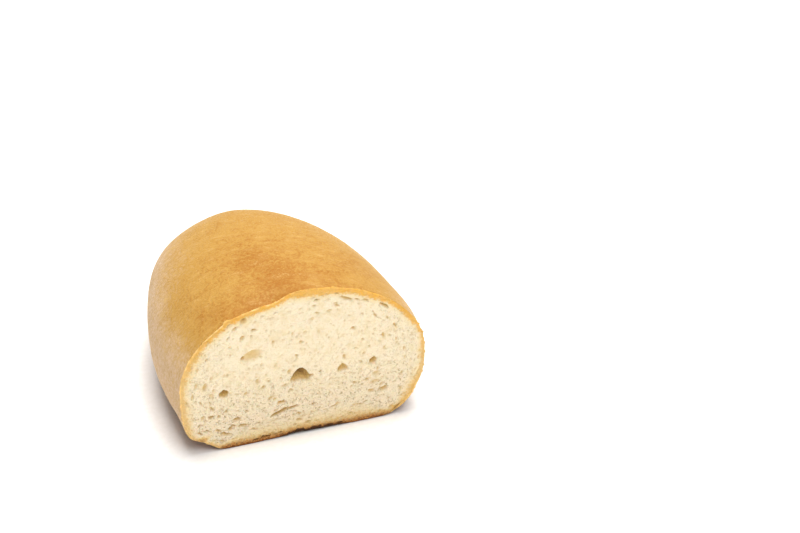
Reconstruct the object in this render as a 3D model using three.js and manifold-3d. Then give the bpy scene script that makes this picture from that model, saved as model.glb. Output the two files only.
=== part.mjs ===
// Half of a plain white bread loaf, standing on its base with the cut face towards -Y.
// Millimetres, +Z up. The origin is on the table, under the middle of the piece.
// The loaf is shaped whole, flattened by the oven floor, cut across, and its gas cells opened by the cut.

import * as THREE from 'three';
import { mergeVertices } from 'three/addons/utils/BufferGeometryUtils.js';
import Module from 'manifold-3d';

const wasm = await Module();
wasm.setup();

// The whole loaf
const LOAF_LENGTH = 260;
const LOAF_WIDTH = 130;
const LOAF_HEIGHT = 83;
const BELT_HEIGHT = 37.5; // the widest line, above the table
const BELT_DROP = 0.1; // share of that height which the widest line loses at the ends
const UNDERSIDE_DEPTH = 42; // reach below the belt, before the oven floor flattens it
const SWELL = 0.5; // height of the slow lumps in the crust

// Outlines are superellipses: 2 is an ellipse, and more is squarer
const PLAN_ROUNDNESS = 2.15;
const ARCH_ROUNDNESS = 2.1;
const KEEL_ROUNDNESS = 4;
const DOME_ROUNDNESS = 1.9;
const UNDERSIDE_ROUNDNESS = 3;

// The cut, and the shallow arch that the base has behind it
const CUT_FROM_MIDDLE = 25;
const BASE_ARCH = { across: -1.5, halfWidth: 27, halfLength: 62, rise: 2.6, sunk: 8 };

// Flakes of crust that the knife lifted on the right-hand rim
const FLAKES = 13;
const FLAKE_STRETCH = { from: -36, to: 22 }; // degrees round the rim, 0 at the belt
const FLAKE_SIZE = { least: 0.7, most: 1.3 }; // half of the long side
const FLAKE_LIFT = -35; // degrees between a flake and the rim

// The crumb
const CRUST_THICKNESS = 2.6;
const SMALL_CELLS = 64;
const SMALL_CELL_SIZE = { least: 0.8, most: 1.5 }; // half of the long side
const SMALL_CELL_FLATNESS = { middle: 0.85, rim: 0.5 }; // short side to long side
const SMALL_CELL_DEPTH = 1.1;
const CELL_GAP = 0.8; // clear crumb round a cell

// Facets
const LOAF_SIDES = { around: 56, along: 44 };
const ARCH_SIDES = { around: 32, along: 24 };
const LARGE_CELL_SIDES = { around: 12, along: 7 };
const SMALL_CELL_SIDES = { around: 7, along: 5 };
const FLAKE_SIDES = { around: 6, along: 4 };

// What follows from those sizes
const HALF_LENGTH = LOAF_LENGTH / 2;
const PIECE_LENGTH = HALF_LENGTH + CUT_FROM_MIDDLE;
const CUT_Y = -PIECE_LENGTH / 2;
const MIDDLE_Y = CUT_Y + CUT_FROM_MIDDLE;
const CUT_SHARE = -CUT_FROM_MIDDLE / HALF_LENGTH;

// The large gas cells in the cut face: their middle, half sizes, turn in degrees and depth
const LARGE_CELLS = [
  { across: -2.2, up: 34.6, long: 5.6, short: 3.7, turn: 8, depth: 5.5 }, // the largest, off the middle
  { across: 2.6, up: 33, long: 3.6, short: 1.1, turn: -8, depth: 2 }, // its tail
  { across: -41.6, up: 32.2, long: 2.6, short: 2.4, turn: 20, depth: 4 },
  { across: -26.4, up: 51, long: 5.2, short: 2.5, turn: 22, depth: 1.8 },
  { across: 36.4, up: 34.8, long: 2.1, short: 1.7, turn: 35, depth: 3 },
  { across: 20.6, up: 34.4, long: 2.9, short: 1.7, turn: 4, depth: 2.4 },
  { across: -11.2, up: 15.1, long: 7.2, short: 0.9, turn: 12, depth: 2.6 }, // a slit low in the crumb
  { across: -12.4, up: 20.8, long: 2.3, short: 1, turn: 2, depth: 1.8 },
  { across: -35.8, up: 16.2, long: 2.2, short: 1.2, turn: 6, depth: 1.8 },
  { across: -32.8, up: 11.8, long: 2.5, short: 0.8, turn: -3, depth: 1.5 },
  { across: -41.2, up: 9.2, long: 3.2, short: 0.9, turn: -10, depth: 1.8 },
  { across: 42, up: 16.8, long: 2, short: 1.4, turn: 25, depth: 1.8 },
  { across: 35.3, up: 17, long: 1.7, short: 1, turn: 0, depth: 1.4 },
  { across: 37.2, up: 21.8, long: 3, short: 1.2, turn: 4, depth: 1.1 },
  { across: 38, up: 26.6, long: 2.3, short: 1.2, turn: 8, depth: 1.1 },
  { across: 23.2, up: 72.9, long: 3.6, short: 0.7, turn: -21, depth: 1.6 }, // slits under the top crust
  { across: 42.3, up: 65.2, long: 3.2, short: 0.8, turn: -37, depth: 2 },
  { across: -30, up: 71.4, long: 2.2, short: 1.5, turn: 30, depth: 2 },
  { across: -31, up: 62, long: 1.6, short: 1.2, turn: 55, depth: 1.5 },
  { across: -18, up: 24.3, long: 2.2, short: 1.1, turn: 25, depth: 1.3 },
  { across: -48, up: 20.4, long: 1.7, short: 0.9, turn: 20, depth: 1.6 },
  { across: -51, up: 38, long: 2.3, short: 0.9, turn: 80, depth: 1.4 }, // upright cells near the side crust
];

// The same surface with its seams and poles closed.
function closed(geometry) {
  const bare = geometry.clone();
  bare.deleteAttribute('normal');
  bare.deleteAttribute('uv');
  return mergeVertices(bare);
}

// A closed surface as a solid that can be joined and cut.
function solidOf(geometry) {
  const surface = closed(geometry);
  const vertProperties = new Float32Array(surface.attributes.position.array);
  const triVerts = new Uint32Array(surface.index.array);
  return new wasm.Manifold(new wasm.Mesh({ numProp: 3, vertProperties, triVerts }));
}

function geometryOf(solid) {
  const { vertProperties, triVerts } = solid.getMesh();
  const geometry = new THREE.BufferGeometry();
  geometry.setAttribute('position', new THREE.BufferAttribute(vertProperties, 3));
  geometry.setIndex(new THREE.BufferAttribute(triVerts, 1));
  geometry.computeVertexNormals();
  return geometry;
}

// What is left of 1 at a share of the way out along a superellipse.
function taper(share, roundness) {
  return Math.max(0, 1 - Math.abs(share) ** roundness) ** (1 / roundness);
}

// How far a superellipse of half size 1 reaches in a direction.
function reach(cosine, sine, roundness) {
  return (Math.abs(cosine) ** roundness + Math.abs(sine) ** roundness) ** (-1 / roundness);
}

// Slow lumps of the crust, as a share of its distance from the loaf's axis.
function swell(share, angle) {
  const lumps = Math.sin(3 * angle + 2.6 * share + 0.4) * Math.cos(5.2 * share - 0.7);
  return (SWELL / (LOAF_WIDTH / 2)) * lumps;
}

// The crust's place at a share of the half length from the loaf's middle, and an angle round its axis.
function crustPoint(share, angle) {
  const cosine = Math.cos(angle);
  const sine = Math.sin(angle);
  const above = sine >= 0;
  const belt = BELT_HEIGHT * (1 - BELT_DROP * share ** 2);
  const rise = (LOAF_HEIGHT - BELT_HEIGHT) * taper(share, ARCH_ROUNDNESS);
  const drop = UNDERSIDE_DEPTH * taper(share, KEEL_ROUNDNESS);
  const out = reach(cosine, sine, above ? DOME_ROUNDNESS : UNDERSIDE_ROUNDNESS);
  const grown = out * (1 + swell(share, angle) * Math.abs(sine));
  return {
    across: (LOAF_WIDTH / 2) * taper(share, PLAN_ROUNDNESS) * out * cosine,
    along: MIDDLE_Y + share * HALF_LENGTH,
    up: belt + (above ? rise : drop) * grown * sine,
  };
}

// A unit sphere, its poles at the loaf's ends, drawn out to the whole loaf.
function wholeLoaf() {
  const sphere = closed(new THREE.SphereGeometry(1, LOAF_SIDES.around, LOAF_SIDES.along));
  const position = sphere.attributes.position;
  for (let i = 0; i < position.count; i++) {
    const share = THREE.MathUtils.clamp(position.getY(i), -1, 1);
    const angle = Math.atan2(position.getZ(i), position.getX(i));
    const { across, along, up } = crustPoint(share, angle);
    position.setXYZ(i, across, along, up);
  }
  return solidOf(sphere);
}

// All that lies below the table, and all that the knife takes off.
function offcuts() {
  const margin = 20;
  const ground = new THREE.BoxGeometry(LOAF_WIDTH + margin, 2 * LOAF_LENGTH, LOAF_HEIGHT);
  ground.translate(0, 0, -LOAF_HEIGHT / 2);
  const otherHalf = new THREE.BoxGeometry(LOAF_WIDTH + margin, LOAF_LENGTH, 3 * LOAF_HEIGHT);
  otherHalf.translate(0, CUT_Y - LOAF_LENGTH / 2, LOAF_HEIGHT / 2);
  return solidOf(ground).add(solidOf(otherHalf));
}

// The shallow arch where the middle of the base stood clear of the oven floor, open at the cut.
// It is the top of an ellipsoid whose middle is sunk below the table.
function baseArch() {
  const { across, halfWidth, halfLength, rise, sunk } = BASE_ARCH;
  const height = sunk + rise;
  const widthAtTable = Math.sqrt(1 - (sunk / height) ** 2);
  const arch = new THREE.SphereGeometry(1, ARCH_SIDES.around, ARCH_SIDES.along);
  arch.rotateX(Math.PI / 2);
  arch.scale(halfWidth / widthAtTable, halfLength / widthAtTable, height);
  arch.translate(across, CUT_Y, -sunk);
  return solidOf(arch);
}

// One gas cell, an ellipsoid whose middle lies in the cut face.
function gasCell({ across, up, long, short, turn, depth }, sides) {
  const cell = new THREE.SphereGeometry(1, sides.around, sides.along);
  cell.scale(long, depth, short);
  cell.rotateY(-THREE.MathUtils.degToRad(turn));
  cell.translate(across, CUT_Y, up);
  return solidOf(cell);
}

// Number i of the Halton sequence in a base, which spreads points evenly between 0 and 1.
function halton(i, base) {
  let rest = i;
  let step = 1;
  let sum = 0;
  while (rest > 0) {
    step /= base;
    sum += step * (rest % base);
    rest = Math.floor(rest / base);
  }
  return sum;
}

// The rim's direction at an angle round it, in degrees up from +X.
function rimTurn(angle) {
  const nudge = 0.01;
  const here = crustPoint(CUT_SHARE, angle);
  const ahead = crustPoint(CUT_SHARE, angle + nudge);
  return THREE.MathUtils.radToDeg(Math.atan2(ahead.up - here.up, ahead.across - here.across));
}

// Small gas cells, spread evenly over the crumb, drawn out along the crust and clear of the large ones.
function smallCells() {
  const cells = [];
  for (let i = 1; cells.length < SMALL_CELLS; i++) {
    const angle = 2 * Math.PI * halton(i, 2);
    const out = Math.sqrt(halton(i, 3));
    const long = THREE.MathUtils.lerp(SMALL_CELL_SIZE.least, SMALL_CELL_SIZE.most, halton(i, 5));
    const edge = crustPoint(CUT_SHARE, angle);
    const margin = CRUST_THICKNESS + long + CELL_GAP;
    const inset = 1 - margin / Math.hypot(edge.across, edge.up - BELT_HEIGHT);
    const across = edge.across * out * inset;
    const up = BELT_HEIGHT + (edge.up - BELT_HEIGHT) * out * inset;
    const clear = [...LARGE_CELLS, ...cells].every(
      (other) => Math.hypot(other.across - across, other.up - up) > other.long + long + CELL_GAP,
    );
    if (!clear || up < BASE_ARCH.rise + margin) continue;
    const short = long * THREE.MathUtils.lerp(SMALL_CELL_FLATNESS.middle, SMALL_CELL_FLATNESS.rim, out);
    cells.push({ across, up, long, short, turn: rimTurn(angle), depth: SMALL_CELL_DEPTH });
  }
  return cells;
}

// Flakes along the rim, each an ellipsoid half sunk in the crust just behind the cut.
function rimFlakes() {
  const flakes = [];
  for (let i = 1; i <= FLAKES; i++) {
    const degrees = THREE.MathUtils.lerp(FLAKE_STRETCH.from, FLAKE_STRETCH.to, halton(i, 2));
    const angle = THREE.MathUtils.degToRad(degrees);
    const size = THREE.MathUtils.lerp(FLAKE_SIZE.least, FLAKE_SIZE.most, halton(i, 3));
    const { across, up } = crustPoint(CUT_SHARE, angle);
    const flake = new THREE.SphereGeometry(1, FLAKE_SIDES.around, FLAKE_SIDES.along);
    flake.scale(size, size / 2, size / 2);
    flake.rotateY(-THREE.MathUtils.degToRad(rimTurn(angle) + FLAKE_LIFT));
    flake.translate(across, CUT_Y + size / 2, up);
    flakes.push(solidOf(flake));
  }
  return flakes;
}

function halfLoaf() {
  const openings = [
    baseArch(),
    ...LARGE_CELLS.map((cell) => gasCell(cell, LARGE_CELL_SIDES)),
    ...smallCells().map((cell) => gasCell(cell, SMALL_CELL_SIDES)),
  ];
  const cut = wholeLoaf().subtract(offcuts());
  const rough = rimFlakes().reduce((sum, flake) => sum.add(flake), cut);
  return openings.reduce((rest, opening) => rest.subtract(opening), rough);
}

const bakedBread = new THREE.MeshStandardMaterial({ color: 0xdca552, roughness: 0.55, metalness: 0 });

const loaf = new THREE.Mesh(geometryOf(halfLoaf()), bakedBread);
loaf.name = 'loaf';

const bread = new THREE.Group();
bread.add(loaf);

export default bread;
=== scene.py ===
"""Half of an oval white bread loaf, cut across: its baked crust, its open crumb, and a plain studio.

Lengths are millimetres until a mesh is made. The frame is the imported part's: the cut faces -Y and +Z is up.
A pair of numbers, such as a form's arch step, says where a smooth step starts and where it is full.
"""

import logging
import math
from abc import ABC, abstractmethod
from dataclasses import dataclass
from enum import Enum

import bpy
import numpy as np
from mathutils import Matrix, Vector

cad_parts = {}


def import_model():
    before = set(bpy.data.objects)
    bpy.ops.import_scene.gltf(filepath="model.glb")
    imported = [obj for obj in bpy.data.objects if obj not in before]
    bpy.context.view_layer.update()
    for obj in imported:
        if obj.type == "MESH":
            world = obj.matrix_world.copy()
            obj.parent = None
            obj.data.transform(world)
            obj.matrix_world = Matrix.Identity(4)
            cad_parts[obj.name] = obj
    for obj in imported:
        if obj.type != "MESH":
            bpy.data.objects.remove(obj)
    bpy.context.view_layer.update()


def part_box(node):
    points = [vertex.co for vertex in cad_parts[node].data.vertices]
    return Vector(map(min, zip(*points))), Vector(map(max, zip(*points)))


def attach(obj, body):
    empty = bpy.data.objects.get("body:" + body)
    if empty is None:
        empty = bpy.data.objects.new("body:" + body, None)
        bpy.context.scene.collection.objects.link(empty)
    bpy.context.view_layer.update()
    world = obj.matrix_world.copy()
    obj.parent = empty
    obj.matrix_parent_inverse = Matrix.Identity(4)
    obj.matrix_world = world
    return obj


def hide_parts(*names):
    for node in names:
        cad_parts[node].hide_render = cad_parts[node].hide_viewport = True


METRES = 0.001
LOG = logging.getLogger("bread")


class Sheet(Enum):
    """The two sheets of the loaf's skin, by the material slot that each takes."""

    CRUST = 0
    CUT = 1


def linear(colour: str) -> tuple[float, float, float, float]:
    """Turns an sRGB hex colour to linear light.

    Args:
        colour: Six hex digits after a #.

    Returns:
        Red, green, blue and an alpha of 1.
    """
    parts = [int(colour[i : i + 2], 16) / 255 for i in (1, 3, 5)]
    return (*[p / 12.92 if p <= 0.04045 else ((p + 0.055) / 1.055) ** 2.4 for p in parts], 1.0)


def per_metre(size: float) -> float:
    """The texture scale that gives a pattern of a size in millimetres."""
    return 1 / (size * METRES)


def step_between(low: float, high: float, value: np.ndarray) -> np.ndarray:
    """A smooth step from 0 at low to 1 at high, by the cubic 3t^2 - 2t^3."""
    share = np.clip((value - low) / (high - low), 0, 1)
    return share * share * (3 - 2 * share)


def soft_max(one: np.ndarray, other: np.ndarray, softness: float) -> np.ndarray:
    """The larger of two heights, their corner rounded: the mean plus half the softened difference."""
    return (one + other + np.sqrt((one - other) ** 2 + 4 * softness**2)) / 2


def hashed(cells: np.ndarray, seed: int) -> np.ndarray:
    """Gives each cell of a lattice its own fixed random number.

    Args:
        cells: Whole numbers, with a cell's place in the last axis.
        seed: Picks one of many such sets of numbers.

    Returns:
        Numbers from 0 to 1, one for each cell: the place's bits, mixed by large odd factors.
    """
    whole = cells.astype(np.int64).astype(np.uint32)
    mixed = np.full(whole.shape[:-1], (seed * 2654435761) % 2**32, np.uint32)
    for axis in range(whole.shape[-1]):
        mixed = (mixed ^ (whole[..., axis] * np.uint32(374761393))) * np.uint32(2246822519)
        mixed ^= mixed >> np.uint32(15)
        mixed = mixed * np.uint32(3266489917)
        mixed ^= mixed >> np.uint32(13)
    return mixed / 2**32


def value_noise(points: np.ndarray, grain: float, seed: int) -> np.ndarray:
    """Smooth random unevenness: random values at lattice corners, blended between them by a cubic step.

    Args:
        points: Places in millimetres, in the last axis.
        grain: The lattice's spacing in millimetres.
        seed: Picks one of many such patterns.

    Returns:
        Numbers from -1 to 1.
    """
    corner = np.floor(points / grain)
    part = points / grain - corner
    blend = part * part * (3 - 2 * part)
    total = np.zeros(points.shape[:-1])
    for offset in np.ndindex(*(2,) * points.shape[-1]):
        near = np.array(offset)
        weight = np.prod(np.where(near == 1, blend, 1 - blend), axis=-1)
        total += weight * hashed(corner + near, seed)
    return 2 * total - 1


def run_along(points: np.ndarray) -> np.ndarray:
    """The run along a line of points, from 0 at the first."""
    return np.concatenate([[0], np.cumsum(np.linalg.norm(np.diff(points, axis=0), axis=-1))])


@dataclass(frozen=True)
class Unevenness:
    """One layer of smooth random unevenness, by its grain in millimetres, its height and its seed."""

    grain: float
    height: float
    seed: int

    def at(self, places: np.ndarray) -> np.ndarray:
        """How far the layer stands up or down at places in millimetres."""
        return self.height * value_noise(places, self.grain, self.seed)


@dataclass(frozen=True)
class LoafForm:
    """The whole loaf's form.

    Its outlines are superellipses: a roundness of 2 is an ellipse, and more is squarer.
    """

    half_width: float
    cut_y: float
    tip_y: float
    height: float = 83.0
    cut_from_middle: float = 25.0
    belt_height: float = 37.5
    belt_drop: float = 0.1
    underside_depth: float = 42.0
    swell: float = 0.5
    plan_roundness: float = 2.15
    arch_roundness: float = 2.1
    keel_roundness: float = 4.0
    dome_roundness: float = 1.9
    underside_roundness: float = 3.0
    base_softness: float = 0.4
    arch_across: float = -1.5
    arch_half_width: float = 27.0
    arch_half_length: float = 62.0
    arch_rise: float = 2.6
    arch_sunk: float = 8.0
    arch_unevenness: float = 0.3
    arch_step: tuple[float, float] = (-16.0, -8.0)
    arch_step_share: float = 0.5
    arch_step_raggedness: float = 1.5
    lip_depth: float = 4.0
    lip_share: float = 0.7
    lip_gap: float = -5.0
    lip_gap_width: float = 4.5
    lip_gap_share: float = 0.35
    sole_layers: tuple[Unevenness, ...] = (Unevenness(5.0, 0.6, 11), Unevenness(2.2, 0.4, 12))
    sole_roughness: float = 0.15

    @classmethod
    def from_frame(cls) -> "LoafForm":
        """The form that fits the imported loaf's box."""
        low, high = (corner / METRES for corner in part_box("loaf"))
        return cls(half_width=(high.x - low.x) / 2, cut_y=low.y, tip_y=high.y)

    @property
    def middle_y(self) -> float:
        """Where the whole loaf's middle lies."""
        return self.cut_y + self.cut_from_middle

    @property
    def half_length(self) -> float:
        """Half of the whole loaf's length."""
        return self.tip_y - self.middle_y

    @property
    def cut_share(self) -> float:
        """The cut's place, as a share of the half length from the loaf's middle."""
        return -self.cut_from_middle / self.half_length

    def base_height(self, across: np.ndarray, along: np.ndarray) -> np.ndarray:
        """Height of the sole: 0, but for a shallow arch behind the cut, the top of a sunken ellipsoid.

        The arch is lower on its left, up to a ragged step. A burnt lip hangs before it at the cut, partly
        broken off near the step.

        Args:
            across: X in millimetres.
            along: Y in millimetres.

        Returns:
            Z in millimetres, with the slight roughness of the sole.
        """
        tall = self.arch_sunk + self.arch_rise
        spread = math.sqrt(1 - (self.arch_sunk / tall) ** 2)
        x_part = (across - self.arch_across) * spread / self.arch_half_width
        y_part = (along - self.cut_y) * spread / self.arch_half_length
        arch = tall * np.sqrt(np.clip(1 - x_part**2 - y_part**2, 0, None)) - self.arch_sunk
        places = np.stack([across, along], axis=-1)
        ragged = sum(layer.at(places) for layer in self.sole_layers)
        risen = step_between(*self.arch_step, across + self.arch_step_raggedness * ragged)
        arch = np.clip(arch, 0, None) * (self.arch_step_share + (1 - self.arch_step_share) * risen)
        before = step_between(self.lip_depth, 0, along - self.cut_y)
        broken = np.exp(-(((across - self.lip_gap) / self.lip_gap_width) ** 2))
        arch = arch * (1 - self.lip_share * (1 - self.lip_gap_share * broken) * before)
        return arch * (1 + self.arch_unevenness * ragged) + self.sole_roughness * np.clip(ragged, 0, None)

    def taper(self, share: np.ndarray, roundness: float) -> np.ndarray:
        """What is left of 1 at a share of the way along a superellipse: (1 - share^r)^(1/r)."""
        return np.clip(1 - np.abs(share) ** roundness, 0, None) ** (1 / roundness)

    def crust(self, share: np.ndarray, angle: np.ndarray) -> np.ndarray:
        """The crust before its fine relief.

        Across is the half width times the plan's taper, the section's reach and the cosine. The reach is
        (|cos|^r + |sin|^r)^(-1/r). Up is the belt's height plus the section's rise or drop in the same way,
        with slow waves of the swell's height, kept above the sole.

        Args:
            share: Place along the loaf, as a share of the half length from the middle.
            angle: Radians round the axis, 0 at the belt on the right.

        Returns:
            Places in millimetres, X, Y and Z in the last axis.
        """
        share, angle = np.broadcast_arrays(share, angle)
        cosine, sine = np.cos(angle), np.sin(angle)
        above = sine >= 0
        roundness = np.where(above, self.dome_roundness, self.underside_roundness)
        reach = (np.abs(cosine) ** roundness + np.abs(sine) ** roundness) ** (-1 / roundness)
        belt = self.belt_height * (1 - self.belt_drop * share**2)
        rise = (self.height - self.belt_height) * self.taper(share, self.arch_roundness)
        drop = self.underside_depth * self.taper(share, self.keel_roundness)
        waves = np.sin(3 * angle + 2.6 * share + 0.4) * np.cos(5.2 * share - 0.7) * np.abs(sine)
        across = self.half_width * self.taper(share, self.plan_roundness) * reach * cosine
        along = self.middle_y + share * self.half_length
        up = belt + np.where(above, rise, drop) * reach * sine * (1 + self.swell / self.half_width * waves)
        up = soft_max(up, self.base_height(across, along), self.base_softness)
        return np.stack([across, along, up], axis=-1)


@dataclass(frozen=True)
class DiscGrid:
    """A square grid bent onto a disc, so that a round sheet has no pole and its cells stay even."""

    columns: int = 264
    rows: int = 184

    @property
    def shape(self) -> tuple[int, int]:
        """Points along both ways of the grid."""
        return self.columns + 1, self.rows + 1

    def polar(self) -> tuple[np.ndarray, np.ndarray]:
        """Bends the square onto the disc: x is u sqrt(1 - v^2/2), and y is v sqrt(1 - u^2/2).

        Returns:
            Each point's radius, up to 1, and its angle.
        """
        u = (np.arange(self.columns + 1) / (self.columns / 2) - 1)[:, None]
        v = (np.arange(self.rows + 1) / (self.rows / 2) - 1)[None, :]
        x, y = u * np.sqrt(1 - v**2 / 2), v * np.sqrt(1 - u**2 / 2)
        return np.hypot(x, y), np.arctan2(y, x)

    def rim(self) -> np.ndarray:
        """Finds the disc's edge: the first and last rows and columns.

        Returns:
            True for the points on it.
        """
        edge = np.zeros(self.shape, bool)
        edge[[0, -1], :] = True
        edge[:, [0, -1]] = True
        return edge

    def quads(self, index: np.ndarray) -> np.ndarray:
        """The grid's faces by point numbers, counter-clockwise as seen with x to the right and y up."""
        corners = (index[:-1, :-1], index[1:, :-1], index[1:, 1:], index[:-1, 1:])
        return np.stack(corners, axis=-1).reshape(-1, 4)


def grid_normals(points: np.ndarray) -> np.ndarray:
    """Unit normals of a grid of points: the cross product of its two differences.

    Args:
        points: Places, with the grid in the first two axes.

    Returns:
        One normal for each point. The four corners, where both differences run along the rim, take a
        neighbour's.
    """
    normal = np.cross(np.gradient(points, axis=1), np.gradient(points, axis=0))
    for i, j in ((0, 0), (0, -1), (-1, 0), (-1, -1)):
        normal[i, j] = normal[1 if i == 0 else -2, 1 if j == 0 else -2]
    return normal / np.linalg.norm(normal, axis=-1, keepdims=True)


@dataclass(frozen=True)
class GasCell:
    """A gas cell that the cut opened: middle, half sizes, turn in degrees and depth.

    A peak bends its outline to a tent, a floor flattens its lower side, and a lean carries its inside up,
    behind the lip.
    """

    across: float
    up: float
    long: float
    short: float
    turn: float
    depth: float
    peak: float = 0.0
    floor: float = 1.0
    lean: float = 0.15


LARGE_CELLS = (
    GasCell(-2.3, 32.8, 5.0, 5.8, -7, 4.8, peak=0.35, floor=3.4, lean=0.5),
    GasCell(1.6, 32.8, 3.6, 1.4, 8, 1.8),
    GasCell(-41.6, 32.0, 2.6, 2.6, 20, 3.8, floor=1.2, lean=0.25),
    GasCell(-26.4, 51.2, 5.4, 3.3, 20, 1.3, lean=0.0),
    GasCell(-31.2, 50.6, 1.4, 1.1, 60, 2.2),
    GasCell(36.4, 34.6, 2.1, 1.9, 35, 2.8, lean=0.25),
    GasCell(20.2, 33.6, 3.0, 2.8, 4, 2.2, peak=0.6, floor=2.2),
    GasCell(-13.6, 15.0, 5.4, 1.2, 18, 3.4, lean=0.25),
    GasCell(-7.0, 16.6, 3.4, 0.8, 6, 2.4),
    GasCell(-12.4, 20.8, 2.3, 1.1, 2, 2.2),
    GasCell(-35.8, 16.2, 2.2, 1.2, 6, 1.8),
    GasCell(-32.8, 11.8, 2.6, 1.0, -3, 1.5),
    GasCell(-41.8, 8.8, 3.2, 1.1, -8, 1.8, lean=0.1),
    GasCell(42.0, 16.8, 2.3, 1.6, 25, 1.7),
    GasCell(35.3, 17.0, 1.9, 1.2, 0, 1.3),
    GasCell(37.2, 21.8, 3.2, 1.5, 4, 1.0, lean=0.0),
    GasCell(38.0, 26.6, 2.5, 1.6, 8, 0.9, lean=0.0),
    GasCell(23.2, 72.9, 3.6, 0.8, -21, 1.6),
    GasCell(42.3, 65.2, 3.2, 0.9, -37, 1.8),
    GasCell(-30.0, 71.4, 2.2, 1.5, 30, 1.8),
    GasCell(-31.0, 62.0, 1.6, 1.2, 55, 1.4),
    GasCell(-17.6, 24.6, 2.4, 1.3, 25, 1.1),
    GasCell(-48.6, 20.1, 1.8, 1.0, 25, 2.2),
    GasCell(-51.0, 38.2, 2.6, 1.3, 75, 1.3, lean=0.0),
)

SMALL_CELLS = (
    GasCell(-39.0, 11.4, 1.3, 1.1, 40, 1.8),
    GasCell(-52.8, 20.3, 1.6, 1.1, 80, 1.1),
    GasCell(-44.7, 19.7, 0.9, 0.8, 0, 1.5),
    GasCell(-51.3, 13.0, 0.8, 0.8, 0, 1.5),
    GasCell(-55.1, 16.5, 0.8, 0.8, 0, 1.3),
    GasCell(-40.6, 21.7, 0.8, 0.8, 0, 1.4),
    GasCell(-29.5, 25.3, 1.0, 0.7, 0, 1.3),
    GasCell(-47.8, 32.5, 1.9, 1.5, 70, 0.8, lean=0.0),
    GasCell(5.5, 77.2, 2.0, 0.5, 0, 0.8),
    GasCell(45.0, 47.5, 1.1, 0.9, 0, 1.1),
    GasCell(48.8, 45.0, 0.8, 0.8, 0, 1.0),
    GasCell(48.3, 49.0, 0.8, 0.5, 0, 0.8),
    GasCell(27.0, 43.5, 1.2, 0.8, 0, 0.9),
    GasCell(24.3, 30.0, 1.1, 0.6, 0, 0.9),
    GasCell(8.2, 34.3, 1.0, 0.8, 0, 2.4),
    GasCell(-3.8, 46.0, 1.0, 0.9, 0, 1.4),
    GasCell(-55.2, 39.7, 1.9, 0.8, 80, 1.0),
    GasCell(-57.2, 34.0, 1.9, 0.8, 85, 1.0),
    GasCell(-24.0, 35.8, 1.6, 1.3, 90, 1.1),
    GasCell(-41.0, 42.7, 1.2, 1.0, 90, 0.9),
    GasCell(-37.5, 58.2, 1.0, 0.6, 30, 0.9),
    GasCell(-22.0, 45.0, 1.0, 0.8, 90, 0.7),
    GasCell(4.2, 16.0, 1.2, 0.9, 0, 1.7),
    GasCell(-18.4, 34.4, 0.9, 0.7, 0, 1.7),
    GasCell(-16.6, 31.2, 0.7, 0.7, 0, 1.5),
    GasCell(-10.4, 30.2, 2.2, 1.0, 10, 0.9, lean=0.0),
    GasCell(13.5, 68.2, 1.5, 0.8, 15, 0.9),
    GasCell(17.0, 71.8, 1.4, 0.9, -10, 0.9),
    GasCell(30.8, 62.6, 0.9, 0.7, 0, 0.9),
    GasCell(4.5, 65.5, 1.2, 0.9, 40, 0.9),
    GasCell(1.0, 58.5, 1.6, 1.2, 20, 0.7),
    GasCell(8.0, 57.8, 1.4, 0.6, 0, 0.8),
    GasCell(51.0, 14.0, 1.1, 0.8, 40, 1.0),
    GasCell(-1.0, 9.9, 3.6, 0.5, 9, 0.7),
    GasCell(5.1, 11.4, 3.4, 0.5, 11, 0.7),
    GasCell(15.3, 12.3, 2.9, 0.6, 11, 1.3),
    GasCell(-15.9, 11.0, 3.1, 0.5, 7, 0.7),
    GasCell(-25.0, 11.6, 1.5, 0.6, 0, 0.9),
    GasCell(-28.3, 8.6, 1.8, 0.5, 9, 0.8),
    GasCell(28.0, 10.2, 3.7, 0.6, -9, 0.9),
    GasCell(34.5, 9.0, 2.0, 0.5, 4, 0.7),
)

CRUST_CRACKS = (
    GasCell(48.4, 4.0, 5.0, 0.5, 38, 0.5),
    GasCell(-21.0, 2.6, 3.2, 0.6, 8, 1.2),
    GasCell(-26.5, 2.0, 2.0, 0.45, 4, 1.0),
    GasCell(18.0, 1.9, 2.2, 0.5, 5, 1.0),
    GasCell(-13.5, 3.3, 1.5, 0.45, 10, 0.8),
)


@dataclass(frozen=True)
class CellLayer:
    """A crowd of like cells: at most one in each square of a jittered lattice."""

    spacing: float
    least: float
    most: float
    share: float
    slim: float
    drawn: float
    depth: float
    seed: int


CELL_LAYERS = (
    CellLayer(4.6, 0.8, 1.7, 0.55, 1.4, 1.2, 0.9, 31),
    CellLayer(2.3, 0.5, 0.95, 0.6, 1.3, 1.0, 0.9, 41),
)


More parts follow.
